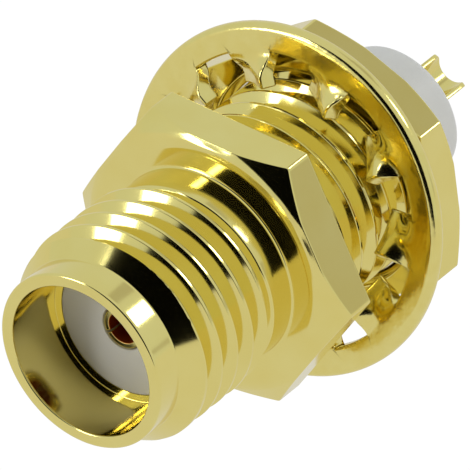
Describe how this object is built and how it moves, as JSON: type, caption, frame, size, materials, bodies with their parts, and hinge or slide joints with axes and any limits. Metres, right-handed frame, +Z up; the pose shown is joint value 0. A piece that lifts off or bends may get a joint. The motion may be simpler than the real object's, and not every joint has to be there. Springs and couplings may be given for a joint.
{
  "type": "sma connector",
  "caption": "Threaded coaxial jack with a hex flange, PTFE core, solder-cup contact, lock washer and nut, fixed through a panel.",
  "frame": {"origin": "on the connector's axis, in the plane of the flange's rear face, which seats on the panel", "axes": "+Y along the axis from the mouth to the solder cup; +Z up, square to two flats of the flange"},
  "size_m": [0.0104, 0.0174, 0.0102],
  "materials": {
    "gold_body": "gold plated, polished",
    "ptfe": "turned PTFE, satin",
    "gold_contact": "gold plated, polished",
    "gold_washer": "gold plated, stamped",
    "gold_nut": "gold plated, polished"
  },
  "bodies": {
    "jack": {"body": "gold_body", "insulator": "ptfe", "contact": "gold_contact"},
    "washer": {"lock_washer": "gold_washer"},
    "nut": {"hex_nut": "gold_nut"}
  },
  "joints": [
    {"name": "washer_slide", "type": "slide", "parent": "jack", "child": "washer", "axis": [0, 1, 0], "range_m": [-0.00106, 0.00106]},
    {"name": "nut_spin", "type": "hinge", "parent": "washer", "child": "nut", "pos_m": [0, 0.0043, 0], "axis": [0, 1, 0], "range_deg": [-540, 540]}
  ],
  "couplings": [
    {"joint": "nut_spin", "follows": "washer_slide", "rad_per_m": 8904.7}
  ]
}
